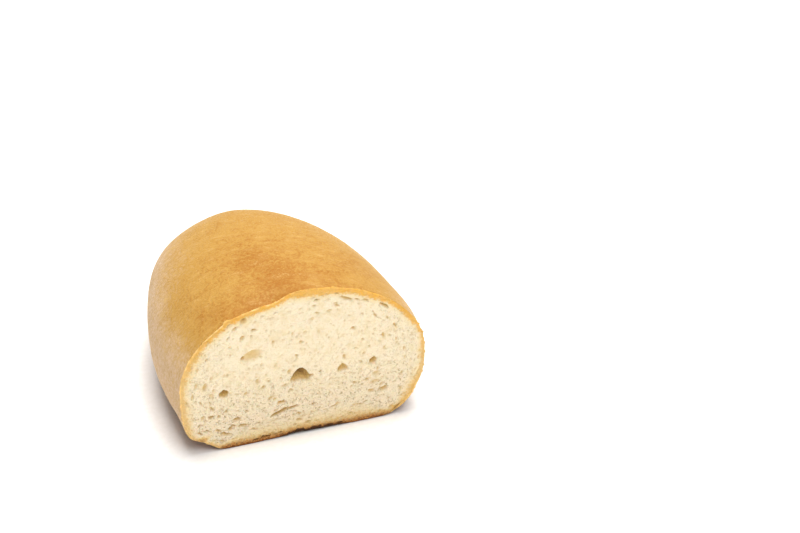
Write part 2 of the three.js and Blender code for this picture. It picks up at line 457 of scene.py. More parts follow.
@dataclass(frozen=True)
class CrumbFace:
    """The crumb that the cut shows: cells of all sizes, drawn out along the crust, flat near the sole."""

    form: LoafForm
    warp_across: Unevenness = Unevenness(2.4, 0.3, 21)
    warp_up: Unevenness = Unevenness(2.4, 0.3, 22)
    torn_walls: Unevenness = Unevenness(1.2, 0.13, 51)
    drawn_out: tuple[float, float] = (0.35, 0.95)
    coarse_below: tuple[float, float] = (48.0, 18.0)
    coarse_beyond: tuple[float, float] = (34.0, 54.0)
    flank_coarseness: float = 0.55
    tent_softness: float = 0.35
    wall_power: float = 0.6
    overhang: float = 0.4
    jitter_margin: float = 0.1
    fine_crowding: float = 0.6
    coarse_crowding: float = 1.2

    def flow(self, places: np.ndarray) -> tuple[np.ndarray, np.ndarray]:
        """Which way the dough was drawn out.

        Args:
            places: X and Z in millimetres.

        Returns:
            The angle of the nearest crust's tangent, and how strongly cells follow it, from 0 to 1.
        """
        belt = self.form.belt_height
        half_height = np.where(places[..., 1] > belt, self.form.height - belt, belt)
        x = places[..., 0] / self.form.half_width
        z = (places[..., 1] - belt) / half_height
        angle = np.arctan2(x / self.form.half_width, -z / half_height)
        return angle, step_between(*self.drawn_out, np.hypot(x, z))

    def coarseness(self, places: np.ndarray) -> np.ndarray:
        """How coarse the crumb is: 1 - (1 - low)(1 - outer), by smooth steps to the sole and the flanks.

        Args:
            places: X and Z in millimetres.

        Returns:
            0 in the middle and above, more at the flanks, and 1 by the sole.
        """
        low = step_between(*self.coarse_below, places[..., 1])
        outer = step_between(*self.coarse_beyond, np.abs(places[..., 0]))
        return 1 - (1 - low) * (1 - self.flank_coarseness * outer)

    def opened(self, places: np.ndarray, cell: GasCell) -> np.ndarray:
        """Depth of one cell: its depth times a power of 1 - r^2 in its own turned, scaled and warped frame.

        Cells reach further in at the top, so their upper lip overhangs.

        Args:
            places: X and Z in millimetres.
            cell: The cell.

        Returns:
            Depths in millimetres, 0 outside the cell.
        """
        turn = math.radians(cell.turn)
        x = places[..., 0] - cell.across + self.warp_across.at(places)
        z = places[..., 1] - cell.up + self.warp_up.at(places)
        p = (x * math.cos(turn) + z * math.sin(turn)) / cell.long
        q = (z * math.cos(turn) - x * math.sin(turn)) / cell.short
        q = q + cell.peak * (np.hypot(p, self.tent_softness) - self.tent_softness)
        q = np.where(q < 0, cell.floor * q, q)
        r = np.hypot(p, q)
        bowl = cell.depth * np.clip(1 - r * r, 0, None) ** self.wall_power
        return bowl * (1 + self.overhang * np.clip(q, -1, 1))

    def crowd(self, places: np.ndarray, layer: CellLayer) -> np.ndarray:
        """Depth of a layer's cells, which crowd where the crumb is coarse.

        Args:
            places: X and Z in millimetres.
            layer: The layer.

        Returns:
            Depths in millimetres: each cell's half size, times the layer's depth, times (1 - r^2)^2.
        """
        square = np.floor(places / layer.spacing)
        depth = np.zeros(places.shape[:-1])
        more = self.coarse_crowding - self.fine_crowding
        for offset in np.ndindex(3, 3):
            home = square + np.array(offset) - 1
            jitter = np.stack([hashed(home, layer.seed), hashed(home, layer.seed + 1)], axis=-1)
            middle = (home + self.jitter_margin + (1 - 2 * self.jitter_margin) * jitter) * layer.spacing
            angle, pull = self.flow(middle)
            angle = angle + (1 - pull) * math.pi * (hashed(home, layer.seed + 2) - 0.5)
            size = layer.least + (layer.most - layer.least) * hashed(home, layer.seed + 3) ** 2
            slim = np.sqrt(layer.slim + layer.drawn * pull)
            delta = places - middle
            p = (delta[..., 0] * np.cos(angle) + delta[..., 1] * np.sin(angle)) / (size * slim)
            q = (delta[..., 1] * np.cos(angle) - delta[..., 0] * np.sin(angle)) / (size / slim)
            here = layer.depth * size * np.clip(1 - p * p - q * q, 0, None) ** 2
            crowding = layer.share * (self.fine_crowding + more * self.coarseness(middle))
            depth = np.maximum(depth, np.where(hashed(home, layer.seed + 4) < crowding, here, 0))
        return depth

    def relief(self, places: np.ndarray) -> tuple[np.ndarray, np.ndarray]:
        """How far the crumb lies behind the knife's plane.

        Args:
            places: X and Z in millimetres.

        Returns:
            Depth of the opened cells, the deepest where several meet, and its lift behind the lip.
        """
        depth = np.maximum.reduce([self.crowd(places, layer) for layer in CELL_LAYERS])
        lift = np.zeros_like(depth)
        for cell in LARGE_CELLS + SMALL_CELLS:
            here = self.opened(places, cell)
            lift = np.where(here > depth, cell.lean * here, lift)
            depth = np.maximum(depth, here)
        return depth, lift

    def cracks(self, places: np.ndarray) -> np.ndarray:
        """Depth of the cracks in the crust's own section."""
        return np.maximum.reduce([self.opened(places, crack) for crack in CRUST_CRACKS])


def add_node(
    tree: bpy.types.NodeTree, kind: str, output: str, inputs: dict[str, object], **settings: object
) -> bpy.types.NodeSocket | None:
    """Adds a shader node, sets it and links it.

    Args:
        tree: The node tree of a material or of the world.
        kind: The node's type, without the ShaderNode that all types start with.
        output: The identifier of the output that is wanted, or nothing.
        inputs: Its inputs by identifier: a socket is linked, and any other value is set.
        settings: The node's own settings by name.

    Returns:
        That output.
    """
    node = tree.nodes.new(f"ShaderNode{kind}")
    for name, value in settings.items():
        setattr(node, name, value)
    for identifier, value in inputs.items():
        socket = next(s for s in node.inputs if s.identifier == identifier)
        if isinstance(value, bpy.types.NodeSocket):
            tree.links.new(value, socket)
        else:
            socket.default_value = value
    return next((s for s in node.outputs if s.identifier == output), None)


@dataclass(frozen=True)
class Stain:
    """A colour, as sRGB hex, that covers another where a value passes from start to full.

    Where it is full, most is how much of it covers, a number or a socket.
    """

    colour: str
    where: bpy.types.NodeSocket
    start: float = 0.0
    full: float = 1.0
    most: float | bpy.types.NodeSocket = 1.0

    def over(self, tree: bpy.types.NodeTree, under: object) -> bpy.types.NodeSocket:
        """Lays the stain over a colour: a smooth step of the value mixes the two.

        Args:
            tree: The material's node tree.
            under: The colour below, a socket or a linear colour.

        Returns:
            The stained colour.
        """
        limits = {"Value": self.where, "From Min": self.start, "From Max": self.full, "To Max": self.most}
        share = add_node(tree, "MapRange", "Result", limits, interpolation_type="SMOOTHSTEP")
        layers = {"Factor_Float": share, "A_Color": under, "B_Color": linear(self.colour)}
        return add_node(tree, "Mix", "Result_Color", layers, data_type="RGBA")


@dataclass(frozen=True)
class Finish(ABC):
    """What a surface is made of: a material with one principled shader."""

    name: str

    @abstractmethod
    def inputs(self, tree: bpy.types.NodeTree, places: bpy.types.NodeSocket) -> dict[str, object]:
        """Makes the pattern's nodes.

        Args:
            tree: The material's node tree.
            places: The object's own places, in metres.

        Returns:
            The shader's inputs by identifier.
        """

    def make(self) -> bpy.types.Material:
        """Makes the material from the pattern, the shader and its output.

        Returns:
            The material.
        """
        material = bpy.data.materials.new(self.name)
        material.use_nodes = True
        tree = material.node_tree
        tree.nodes.clear()
        places = add_node(tree, "TexCoord", "Object", {})
        surface = add_node(tree, "BsdfPrincipled", "BSDF", self.inputs(tree, places))
        add_node(tree, "OutputMaterial", "", {"Surface": surface})
        return material


@dataclass(frozen=True)
class BakedCrust(Finish):
    """Wheat crust, brushed with water and baked to gold.

    To the eye it is a thin satin skin: cloudy from deep to light gold, pale on the flanks, with a fine
    grain, light flecks where its blisters dried, and a soft white gloss where it turns away.
    """

    name: str = "baked_wheat_crust"
    pale: str = "#DABB96"
    gold: str = "#BC8F44"
    deep: str = "#A46A22"
    fleck: str = "#E6C37A"
    speck: str = "#94622A"
    sole: str = "#8E5C2E"
    char: str = "#4A2E14"
    cloud_size: float = 24.0
    cloud_weight: float = 0.2
    mottle_size: float = 6.0
    mottle_weight: float = 0.52
    streak_size: float = 4.0
    streak_weight: float = 0.14
    streak_turn: float = -21.0
    streak_stretch: tuple[float, float, float] = (2.5, 1.0, 1.4)
    grain_size: float = 1.5
    flank_grain: float = 0.95
    dome_grain: float = 0.75
    relief: float = 0.42

    def inputs(self, tree: bpy.types.NodeTree, places: bpy.types.NodeSocket) -> dict[str, object]:
        """Makes the pattern's nodes: the bake value plus noise of four sizes picks the tone of gold.

        Args:
            tree: The material's node tree.
            places: The object's own places, in metres.

        Returns:
            The shader's inputs by identifier.
        """
        turn = (0.0, 0.0, math.radians(self.streak_turn))
        drawn = {"Vector": places, "Rotation": turn, "Scale": self.streak_stretch}
        streaked = add_node(tree, "Mapping", "Vector", drawn, vector_type="TEXTURE")
        clouds, mottle, streaks, grain = (
            add_node(tree, "TexNoise", "Fac", {"Vector": where, "Scale": per_metre(size), **finer})
            for where, size, finer in (
                (places, self.cloud_size, {"Detail": 2.0}),
                (places, self.mottle_size, {"Detail": 3.0, "Roughness": 0.85}),
                (streaked, self.streak_size, {"Detail": 2.0}),
                (places, self.grain_size, {"Detail": 2.0, "Roughness": 0.8}),
            )
        )
        bake = tone = add_node(tree, "Attribute", "Fac", {}, attribute_name="bake")
        coarser = {"Value": bake, "From Min": 0.1, "From Max": 0.6}
        weights = {"To Min": self.flank_grain, "To Max": self.dome_grain}
        grainy = add_node(tree, "MapRange", "Result", coarser | weights)
        for layer, weight in (
            (clouds, self.cloud_weight),
            (mottle, self.mottle_weight),
            (streaks, self.streak_weight),
            (grain, grainy),
        ):
            less_half = {"Value": layer, "Value_001": 0.5}
            centred = add_node(tree, "Math", "Value", less_half, operation="SUBTRACT")
            sum_of = {"Value": centred, "Value_001": weight, "Value_002": tone}
            tone = add_node(tree, "Math", "Value", sum_of, operation="MULTIPLY_ADD")
        both = {"Value": grain, "Value_001": streaks}
        crowded = add_node(tree, "Math", "Value", both, operation="MULTIPLY")
        under = add_node(tree, "Attribute", "Fac", {}, attribute_name="under")
        burnt = add_node(tree, "Attribute", "Fac", {}, attribute_name="char")
        colour = linear(self.pale)
        for stain in (
            Stain(self.gold, tone, -0.25, 0.55),
            Stain(self.deep, tone, 0.5, 1.0),
            Stain(self.fleck, crowded, 0.28, 0.44, 0.35),
            Stain(self.speck, grain, 0.38, 0.2, 0.4),
            # Browned underside, which also reaches up the lower flank as painted shade along the lower edge.
            Stain(self.sole, under),
            Stain(self.char, burnt),
        ):
            colour = stain.over(tree, colour)
        rough = {"Value": grain, "From Min": 0.2, "From Max": 0.8, "To Min": 0.48, "To Max": 0.66}
        roughness = add_node(tree, "MapRange", "Result", rough)
        rise = add_node(tree, "Math", "Value", {"Value": grain, "Value_001": mottle}, operation="ADD")
        bumps = {"Height": rise, "Distance": self.relief * METRES, "Strength": 1.0}
        normal = add_node(tree, "Bump", "Normal", bumps)
        return {
            "Base Color": colour,
            "Roughness": roughness,
            "IOR": 1.4,
            "Specular IOR Level": 0.3,
            "Normal": normal,
        }


@dataclass(frozen=True)
class WheatCrumb(Finish):
    """White wheat crumb, opened by a knife.

    To the eye it is matte and cream, a little translucent, with tan cells, coarser towards the sole. The
    cells' tan is partly painted shade, deeper in deeper cells, and painted shade dims the crumb a little
    towards the sole. The crust's section frames it: gold, in places with a painted highlight on its outer
    edge, and brown and burnt at the sole.
    """

    name: str = "cut_wheat_crumb"
    cream: str = "#F3E4C6"
    shade: str = "#E4CE9F"
    painted_low_shade: str = "#F3E2C4"
    warm: str = "#F1D9A6"
    rim: str = "#E3BE7E"
    edge: str = "#E9B04A"
    painted_glint: str = "#FFD68C"
    sole: str = "#C88F4F"
    crisp: str = "#8C5528"
    cell_tan_and_shade: str = "#D9B775"
    pore: str = "#C2AA7C"
    painted_pit_shade: str = "#7A5524"
    char: str = "#4A2E14"
    cloud_size: float = 4.0
    grain_size: float = 1.1
    pore_size: float = 1.5
    relief: float = 0.6

    def inputs(self, tree: bpy.types.NodeTree, places: bpy.types.NodeSocket) -> dict[str, object]:
        """Makes the pattern's nodes: noise and pores, the crust's section, then the cells on top.

        Args:
            tree: The material's node tree.
            places: The object's own places, in metres.

        Returns:
            The shader's inputs by identifier.
        """
        clouds, grain, pores = (
            add_node(tree, kind, output, {"Vector": places, "Scale": per_metre(size), "Detail": detail})
            for kind, output, size, detail in (
                ("TexNoise", "Fac", self.cloud_size, 3.0),
                ("TexNoise", "Fac", self.grain_size, 2.0),
                ("TexVoronoi", "Distance", self.pore_size, 1.0),
            )
        )
        names = ("cell_tan_and_shade", "painted_pit_shade", "painted_low_shade", "coarse", "band", "gilt", "painted_glint", "sole", "toast", "char")
        value = {name: add_node(tree, "Attribute", "Fac", {}, attribute_name=name) for name in names}
        torn = {"Value": grain, "Value_001": 2.0, "Value_002": value["band"]}
        depth = add_node(tree, "Math", "Value", torn, operation="MULTIPLY_ADD")
        colour = linear(self.cream)
        for stain in (
            Stain(self.shade, clouds, 0.45, 0.75, 0.5),
            # Painted shade: the crumb a little darker towards the sole.
            Stain(self.painted_low_shade, value["painted_low_shade"]),
            Stain(self.shade, pores, 0.3, 0.1, 0.7),
            Stain(self.shade, grain, 0.55, 0.75, 0.7),
            Stain(self.pore, grain, 0.45, 0.3, value["coarse"]),
            Stain(self.warm, depth, 4.8, 2.4, 0.85),
            Stain(self.rim, depth, 3.2, 1.8),
            Stain(self.edge, depth, 3.0, 1.8, value["gilt"]),
            Stain(self.sole, depth, 2.2, 1.5, value["sole"]),
            Stain(self.crisp, depth, 1.45, 1.15, value["sole"]),
            Stain(self.crisp, grain, 0.48, 0.62, value["toast"]),
            # Painted highlight: a bright line along the section's outer edge.
            Stain(self.painted_glint, value["band"], 0.55, 0.2, value["painted_glint"]),
            # The cells' warmer film and painted shade, stronger the deeper the cell.
            Stain(self.cell_tan_and_shade, value["cell_tan_and_shade"]),
            # Painted shade: dark brown in the deepest cells and in the crust's cracks.
            Stain(self.painted_pit_shade, value["painted_pit_shade"], most=0.9),
            Stain(self.char, value["char"]),
        ):
            colour = stain.over(tree, colour)
        rise = add_node(tree, "Math", "Value", {"Value": grain, "Value_001": pores}, operation="ADD")
        rougher = {"Value": value["coarse"], "From Max": 0.9, "To Min": 0.6, "To Max": 1.0}
        strength = add_node(tree, "MapRange", "Result", rougher)
        bumps = {"Height": rise, "Distance": self.relief * METRES, "Strength": strength}
        normal = add_node(tree, "Bump", "Normal", bumps)
        return {
            "Base Color": colour,
            "Roughness": 0.85,
            "IOR": 1.35,
            "Subsurface Weight": 0.25,
            "Subsurface Radius": (1.0, 0.6, 0.35),
            "Subsurface Scale": 1.2 * METRES,
            "Normal": normal,
        }


@dataclass(frozen=True)
class MattPaper(Finish):
    """Matt white background paper, felt-finished: no gloss, and a faint cloudy tooth."""

    name: str = "matt_white_paper"
    white: str = "#FBF9F7"
    tooth: str = "#F8F6F3"
    tooth_size: float = 3.0

    def inputs(self, tree: bpy.types.NodeTree, places: bpy.types.NodeSocket) -> dict[str, object]:
        """Makes the pattern's nodes: one noise for the tooth.

        Args:
            tree: The material's node tree.
            places: The object's own places, in metres.

        Returns:
            The shader's inputs by identifier.
        """
        felt = add_node(tree, "TexNoise", "Fac", {"Vector": places, "Scale": per_metre(self.tooth_size)})
        colour = Stain(self.tooth, felt, 0.4, 0.6).over(tree, linear(self.white))
        return {"Base Color": colour, "Roughness": 1.0, "IOR": 1.2}


@dataclass(frozen=True)
class Spot:
    """An amount that fades as a bell curve from a place on the crust, given in millimetres."""

    middle: tuple[float, float, float]
    radius: float
    amount: float

    def at(self, places: np.ndarray) -> np.ndarray:
        """What is left of the amount at places: it falls by exp(-(distance / radius)^2)."""
        away = np.sum((places - np.array(self.middle)) ** 2, axis=-1)
        return self.amount * np.exp(-away / self.radius**2)


# Where the oven browned the crust more, or less if the amount is negative.
BROWNED_SPOTS = (
    Spot((-8.0, -66.0, 82.0), 17.0, 0.28),
    Spot((-5.0, -45.0, 83.0), 14.0, 0.14),
    Spot((-12.0, -24.0, 82.0), 15.0, 0.1),
    Spot((-20.0, -36.0, 80.0), 12.0, 0.14),
    Spot((-29.0, -75.0, 77.0), 11.0, 0.12),
    Spot((-50.0, -66.0, 66.0), 15.0, 0.24),
    Spot((-54.0, -40.0, 61.0), 13.0, 0.26),
    Spot((19.0, -65.0, 80.0), 11.0, 0.13),
    Spot((30.0, -48.0, 77.0), 16.0, 0.1),
    Spot((51.0, -48.0, 62.0), 18.0, 0.12),
    Spot((-37.0, -5.0, 70.0), 13.0, -0.1),
    Spot((-38.0, -50.0, 74.0), 9.0, -0.1),
)

# Where the crust stands out of its even form by millimetres, or sinks if the amount is negative.
SWELLINGS = (
    Spot((-14.5, -77.5, 80.0), 6.5, -2.2),
    Spot((-25.0, -77.5, 77.5), 10.0, -1.4),
    Spot((-61.0, -76.0, 15.0), 9.0, 0.9),
    Spot((-59.5, -77.0, 10.5), 5.0, 1.1),
    Spot((-52.5, -77.0, 5.0), 6.0, -1.1),
    Spot((-62.0, -48.0, 18.0), 16.0, 0.7),
    Spot((-62.0, -26.0, 21.0), 16.0, 0.6),
    Spot((-57.0, 15.0, 40.0), 24.0, -1.0),
    Spot((-22.0, 55.0, 56.0), 16.0, -0.9),
    Spot((60.0, -77.0, 15.0), 6.0, -0.9),
    Spot((60.0, -60.0, 46.0), 14.0, 1.0),
)


@dataclass(frozen=True)
class RimFlakes:
    """Flakes that stand out of the crust at the rim: small all round, and larger on the right-hand side.

    Two lone ones, each by its X, its Z and its height, are at the upper left.
    """

    teeth: Unevenness = Unevenness(1.3, 1.0, 71)
    height: float = 2.2
    sharpness: float = 1.5
    reach: float = 1.3
    small: float = 0.35
    large_beyond: tuple[float, float] = (50.0, 58.0)
    large_above: tuple[float, float] = (12.0, 20.0)
    large_below: tuple[float, float] = (54.0, 46.0)
    lone: tuple[tuple[float, float, float], ...] = ((-38.6, 72.3, 1.2), (-58.5, 54.5, 0.3))
    lone_radius: float = 2.0

    def at(self, places: np.ndarray, run: np.ndarray) -> np.ndarray:
        """How far the flakes stand out: a power of the teeth, plus a bell curve for each lone flake.

        Args:
            places: Crust places in millimetres.
            run: The run along the crust from the rim in millimetres.

        Returns:
            Heights in millimetres, which fade from the rim by exp(-run / reach).
        """
        x, z = places[..., 0], places[..., 2]
        right = step_between(*self.large_beyond, x) * step_between(*self.large_above, z)
        right = right * step_between(*self.large_below, z)
        tooth = np.clip(self.teeth.at(places), 0, None) ** self.sharpness
        spread = self.lone_radius**2
        lone = sum(h * np.exp(-((x - a) ** 2 + (z - b) ** 2) / spread) for a, b, h in self.lone)
        height = self.height * (self.small + (1 - self.small) * right) * tooth + lone
        return height * np.exp(-run / self.reach)


@dataclass(frozen=True)
class Browning:
    """How far the crust is baked: little on the flanks, more on the dome, by its rim and in spots."""

    flank_height: float = 50.0
    shoulder_height: float = 75.0
    flank_bake: float = 0.1
    dome_bake: float = 0.5
    singe: float = 0.22
    singe_across: float = -12.0
    singe_half_width: float = 30.0
    singe_reach: float = 3.0

    def at(self, places: np.ndarray, run: np.ndarray) -> np.ndarray:
        """Adds up the bake: a smooth step of the height, plus each spot and the singed rim.

        Args:
            places: Crust places in millimetres.
            run: The run along the crust from the rim in millimetres.

        Returns:
            About 0 for pale and 1 for deep brown.
        """
        dome = step_between(self.flank_height, self.shoulder_height, places[..., 2])
        baked = self.flank_bake + self.dome_bake * dome
        for spot in BROWNED_SPOTS:
            baked = baked + spot.at(places)
        beside = (places[..., 0] - self.singe_across) / self.singe_half_width
        return baked + self.singe * dome * np.exp(-(beside**2) - run / self.singe_reach)


@dataclass(frozen=True)
class BurntArch:
    """The burn where the sole is arched at the cut, strongest near the arch's middle."""

    across: float = 4.0
    half_width: float = 17.0
    below: tuple[float, float] = (4.0, 3.0)
    reach: float = 4.0
    depth: float = 0.7
    edge: Unevenness = Unevenness(1.5, 0.5, 93)
    fading: tuple[float, float] = (1.3, 0.7)
    least: float = 0.35

    def near(self, across: np.ndarray) -> np.ndarray:
        """1 near the arch's middle, and 0 beside it: exp(-(distance / half width)^4)."""
        return np.exp(-(((across - self.across) / self.half_width) ** 4))

    def on_crust(self, places: np.ndarray, run: np.ndarray) -> np.ndarray:
        """How burnt the crust is, from 0 to 1: low down, by the arch, and exp(-(run / reach)^2)."""
        low = step_between(*self.below, places[..., 2])
        return low * self.near(places[..., 0]) * np.exp(-((run / self.reach) ** 2))

    def on_cut(self, flat: np.ndarray, skin: np.ndarray, sole: np.ndarray) -> np.ndarray:
        """How burnt the sole's section is: a smooth step of the way in, which goes deeper at the arch.

        Args:
            flat: X and Z on the cut in millimetres.
            skin: The way in from the rim in millimetres.
            sole: Where the nearest rim is the sole, from 0 to 1.

        Returns:
            0 for sound and 1 for black.
        """
        near = self.near(flat[..., 0])
        inward = skin / (self.depth + near) + self.edge.at(flat)
        return sole * step_between(*self.fading, inward) * (self.least + (1 - self.least) * near)


@dataclass(frozen=True)
class CrustSection:
    """The crust's own section, which frames the cut.

    It is thin by the base and at the right, and thicker above, at the lower right corner and at the sole.
    It is gilt above and at that corner; a painted highlight lies along its outer edge at the left and there.
    """

    thickness: float = 1.6
    unevenness: Unevenness = Unevenness(9.0, 0.35, 91)
    base_share: float = 0.65
    upper_share: float = 0.5
    upper_above: tuple[float, float] = (6.0, 22.0)
    dome_share: float = 0.15
    right_loss: float = 0.35
    right_beyond: tuple[float, float] = (15.0, 45.0)
    right_above: tuple[float, float] = (22.0, 40.0)
    corner_share: float = 0.4
    corner_beyond: tuple[float, float] = (38.0, 50.0)
    corner_below: tuple[float, float] = (26.0, 10.0)
    sole_thickness: float = 1.8
    sole_until: tuple[float, float] = (58.0, 38.0)
    toast: float = 0.9
    toast_within: tuple[float, float] = (1.5, 0.4)
    gilt: float = 0.8
    gilding: Unevenness = Unevenness(2.5, 0.2, 92)
    gilt_above: tuple[float, float] = (32.0, 72.0)
    gilt_lower: float = 8.0
    gilt_lower_beyond: tuple[float, float] = (20.0, 60.0)
    gilt_corner: float = 0.5
    painted_glint: float = 0.45
    painted_glints: Unevenness = Unevenness(1.6, 1.2, 95)
    painted_glint_until: tuple[float, float] = (15.0, -25.0)

    def corner(self, flat: np.ndarray) -> np.ndarray:
        """The cut's lower right corner: 1 there, and 0 away from it."""
        right = step_between(*self.corner_beyond, flat[..., 0])
        return right * step_between(*self.corner_below, flat[..., 1])

    def thickness_at(self, flat: np.ndarray, facing: np.ndarray, sole: np.ndarray) -> np.ndarray:
        """The section's thickness: an uneven share of the full one, plus the sole's.

        Args:
            flat: X and Z on the cut in millimetres.
            facing: The way out at the nearest rim.
            sole: Where that is the sole, from 0 to 1.

        Returns:
            Thicknesses in millimetres.
        """
        x, z = flat[..., 0], flat[..., 1]
        share = self.base_share + self.upper_share * step_between(*self.upper_above, z)
        share = share + self.dome_share * np.clip(facing[..., 1], 0, 1)
        loss = self.right_loss * step_between(*self.right_beyond, x) * step_between(*self.right_above, z)
        share = share * (1 - loss) + self.corner_share * self.corner(flat)
        return self.thickness * share * (1 + self.unevenness.at(flat)) + self.sole_thickness * sole

    def values(
        self, flat: np.ndarray, skin: np.ndarray, facing: np.ndarray, sole: np.ndarray
    ) -> dict[str, np.ndarray]:
        """Works out what the finish reads of the section, by smooth steps across, up and inward.

        Args:
            flat: X and Z on the cut in millimetres.
            skin: The way in from the rim in millimetres.
            facing: The way out at the nearest rim.
            sole: Where that is the sole, from 0 to 1.

        Returns:
            The way in as a share of the thickness, how gilt, brown and toasted it is, and its painted
            highlight.
        """
        x, z = flat[..., 0], flat[..., 1]
        corner = self.corner(flat)
        band = skin / self.thickness_at(flat, facing, sole)
        raised = z + self.gilt_lower * step_between(*self.gilt_lower_beyond, x)
        gilt = step_between(*self.gilt_above, raised) + self.gilt_corner * corner
        # Painted highlight on the outer edge: at the left, off the sole, and at the lower right corner.
        painted_glint = step_between(*self.painted_glint_until, x) * (1 - sole) + corner
        return {
            "band": band,
            "gilt": gilt * (self.gilt + self.gilding.at(flat)),
            "painted_glint": painted_glint * np.clip(self.painted_glint + self.painted_glints.at(flat), 0, 1),
            "sole": sole * step_between(*self.sole_until, x),
            "toast": self.toast * sole * step_between(*self.toast_within, band),
        }


@dataclass
class HalfLoaf:
    """The cut loaf as one closed skin of two sheets that meet at the rim: the crust, and the cut face."""

    form: LoafForm
    grid: DiscGrid = DiscGrid()
    arch: BurntArch = BurntArch()
    rim_closeness: float = 0.62
    rim_set_back: float = 0.3
    rim_samples: int = 4001
    run_samples: int = 2001
    tangent_span: int = 3
    lumps: tuple[Unevenness, ...] = (
        Unevenness(38.0, 0.4, 61),
        Unevenness(11.0, 0.12, 62),
        Unevenness(4.5, 0.04, 63),
    )
    relief_starts: tuple[float, float] = (0.6, 3.0)
    underside_faces: tuple[float, float] = (-0.3, -0.85)
    sole_faces: tuple[float, float] = (-0.82, -0.99)
    crumb_starts: tuple[float, float] = (1.2, 3.2)
    cracks_start: tuple[float, float] = (0.2, 0.8)
    grit: Unevenness = Unevenness(0.9, 0.25, 94)
    grit_starts: tuple[float, float] = (0.1, 0.6)
    cell_tan_and_shade_depth: float = 2.0
    cell_tan_and_shade_power: float = 0.8
    pit_shade_start: float = 1.3
    pit_shade_range: float = 4.7
    crack_depth: float = 0.8
    painted_low_shade_below: tuple[float, float] = (40.0, 4.0)
    most_coarse: float = 0.9

    def rim_angles(self) -> tuple[np.ndarray, np.ndarray]:
        """Spaces the rim's points evenly along the crust.

        Returns:
            The disc's angle at each rim point, rising from -pi to pi, and the loaf's angle there.
        """
        fine = np.linspace(-math.pi, math.pi, self.rim_samples)
        run = run_along(self.form.crust(self.form.cut_share, fine))
        disc = np.sort(self.grid.polar()[1][self.grid.rim()])
        even = np.arange(len(disc) + 1) / len(disc) * run[-1]
        return np.concatenate([[-math.pi], disc]), np.interp(even, run, fine)

    def shares(self, radius: np.ndarray) -> tuple[np.ndarray, np.ndarray]:
        """Spaces the crust's rings along the loaf, closer near the rim.

        Args:
            radius: The disc's radius, 1 at the rim and 0 at the loaf's end.

        Returns:
            The place along the loaf as a share, and the run along the crust from the rim in millimetres.
        """
        fine = np.cos(np.linspace(math.acos(self.form.cut_share), 0, self.run_samples))
        across = self.form.taper(fine, 2.0) * self.form.half_width
        run = run_along(np.stack([fine * self.form.half_length, across], axis=-1))
        inward = 1 - radius
        here = run[-1] * ((1 - self.rim_closeness) * inward + self.rim_closeness * inward**2)
        return np.interp(here, run, fine), here

    def crust_sheet(self) -> tuple[np.ndarray, dict[str, np.ndarray]]:
        """The crust with its relief: slow lumps, swellings, and flakes that fade away from the rim.

        Returns:
            Grid points in millimetres, and the values that the crust's finish reads.
        """
        radius, disc = self.grid.polar()
        disc_rim, loaf_rim = self.rim_angles()
        angle = np.interp(disc, disc_rim, loaf_rim)
        share, run = self.shares(radius)
        smooth = self.form.crust(share, angle)
        normal = grid_normals(smooth)
        clear = step_between(*self.relief_starts, smooth[..., 2])
        height = sum(part.at(smooth) for part in (*self.lumps, *SWELLINGS)) + RimFlakes().at(smooth, run)
        points = smooth + normal * (clear * height)[..., None]
        points[..., 2] = np.clip(points[..., 2], 0, None)
        points[self.grid.rim(), 1] = self.form.cut_y + self.rim_set_back
        values = {
            "bake": Browning().at(points, run),
            # Browned underside, widened up the flank as painted shade of the lower edge.
            "under": step_between(*self.underside_faces, normal[..., 2]),
            "char": self.arch.on_crust(points, run),
        }
        return points, values

    def cut_sheet(self, crust: np.ndarray) -> tuple[np.ndarray, dict[str, np.ndarray]]:
        """The cut face: spokes from its middle to the rim, pushed in where gas cells are open.

        Args:
            crust: The crust's grid points, whose rim it shares.

        Returns:
            Grid points in millimetres, and the values that the crumb's finish reads.
        """
        radius, disc = self.grid.polar()
        edge = self.grid.rim()
        order = np.argsort(disc[edge])
        rim = crust[edge][order][:, [0, 2]]
        tangent = np.roll(rim, -self.tangent_span, axis=0) - np.roll(rim, self.tangent_span, axis=0)
        outward = np.stack([tangent[:, 1], -tangent[:, 0]], axis=-1)
        outward /= np.linalg.norm(outward, axis=-1, keepdims=True)
        ring = np.concatenate([[-math.pi], disc[edge][order]])

        def at_angle(values: np.ndarray) -> np.ndarray:
            """The rim's X and Z values, read at each grid point's angle."""
            closed = np.concatenate([values[-1:], values])
            return np.stack([np.interp(disc, ring, part) for part in closed.T], axis=-1)

        middle = np.array([0.0, self.form.belt_height])
        spoke = at_angle(rim) - middle
        facing = at_angle(outward)
        skin = (1 - radius) * np.sum(spoke * facing, axis=-1)
        flat = middle + radius[..., None] * spoke
        sole = step_between(*self.sole_faces, facing[..., 1])
        crumb = CrumbFace(self.form)
        inside = step_between(*self.crumb_starts, skin)
        x, z = flat[..., 0], flat[..., 1]
        depth, lift = crumb.relief(flat)
        cracks = step_between(*self.cracks_start, skin) * crumb.cracks(flat)
        grit = step_between(*self.grit_starts, skin) * (1 - inside) * self.grit.at(flat)
        inward = inside * (depth + crumb.torn_walls.at(flat)) + cracks + grit
        points = np.stack([x, self.form.cut_y + inward, z + inside * lift], axis=-1)
        # Painted shade for the deepest cells, and below it for the cracks.
        painted_pit_shade = np.clip((inside * depth - self.pit_shade_start) / self.pit_shade_range, 0, 1)
        values = {
            # The cells' tan: their warmer film and painted shade, by depth.
            "cell_tan_and_shade": inside * np.clip(depth / self.cell_tan_and_shade_depth, 0, 1) ** self.cell_tan_and_shade_power,
            "painted_pit_shade": painted_pit_shade + np.clip(cracks / self.crack_depth, 0, 1),
            # Painted shade, full near the sole and gone by mid height.
            "painted_low_shade": step_between(*self.painted_low_shade_below, z),
            "coarse": self.most_coarse * crumb.coarseness(flat),
            **CrustSection().values(flat, skin, facing, sole),
            "char": self.arch.on_cut(flat, skin, sole),
        }
        return points, values

